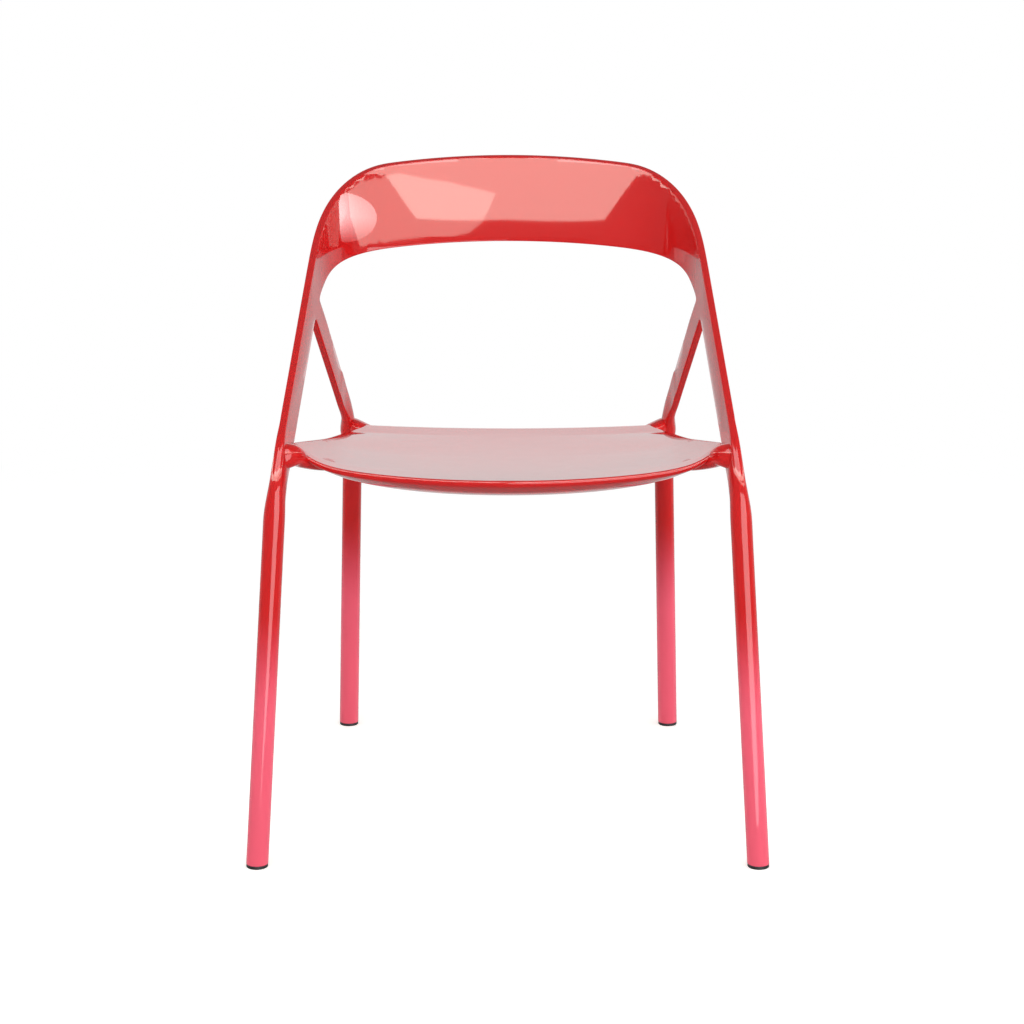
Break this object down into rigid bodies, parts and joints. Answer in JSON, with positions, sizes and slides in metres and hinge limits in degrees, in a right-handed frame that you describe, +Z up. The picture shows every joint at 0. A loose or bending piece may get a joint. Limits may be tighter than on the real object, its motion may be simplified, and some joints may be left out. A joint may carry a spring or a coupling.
{
  "type": "guest chair",
  "caption": "Stacking guest chair: one smooth painted shell with a wrap-around backrest, sloping flat arms, a thin dished seat and round tapered legs on black glides",
  "frame": {"origin": "on the floor, under the middle of the bounding box", "axes": "+X to the right as seen from the front, +Y from the front to the back, +Z up; the chair faces -Y"},
  "size_m": [0.5968, 0.5488, 0.771],
  "materials": {
    "shell_paint": "smooth high-gloss red lacquer over fibre laminate",
    "leg_paint": "high-gloss lacquer that fades from red at the top to pink at the foot",
    "foam_core": "closed-cell foam, unseen",
    "laminate_tongue": "bare woven laminate, unseen",
    "spigot_alloy": "turned aluminium, unseen",
    "leg_plug_plastic": "moulded plug, unseen",
    "glide_plastic": "moulded black glide, fine matte grain"
  },
  "bodies": {
    "root": {"seat_upper_skin": "shell_paint", "seat_core": "foam_core", "seat_lower_skin": "shell_paint", "backrest_front_skin": "shell_paint", "backrest_core": "foam_core", "backrest_rear_skin": "shell_paint", "side_frame_left": "shell_paint", "side_frame_right": "shell_paint", "arm_left": "shell_paint", "arm_right": "shell_paint", "rear_strut_left": "shell_paint", "rear_strut_right": "shell_paint", "front_leg_left": "leg_paint", "front_leg_right": "leg_paint", "rear_leg_left": "leg_paint", "rear_leg_right": "leg_paint", "front_spigot_left": "spigot_alloy", "front_spigot_right": "spigot_alloy", "rear_spigot_left": "spigot_alloy", "rear_spigot_right": "spigot_alloy", "arm_tongue_left": "laminate_tongue", "arm_tongue_right": "laminate_tongue", "strut_tongue_left": "laminate_tongue", "strut_tongue_right": "laminate_tongue", "back_tongue_left": "laminate_tongue", "back_tongue_right": "laminate_tongue", "front_bracket_left": "shell_paint", "front_bracket_right": "shell_paint", "rear_bracket_left": "shell_paint", "rear_bracket_right": "shell_paint", "front_leg_plug_left": "leg_plug_plastic", "front_leg_plug_right": "leg_plug_plastic", "rear_leg_plug_left": "leg_plug_plastic", "rear_leg_plug_right": "leg_plug_plastic", "front_glide_left": "glide_plastic", "front_glide_right": "glide_plastic", "rear_glide_left": "glide_plastic", "rear_glide_right": "glide_plastic"}
  },
  "joints": []
}
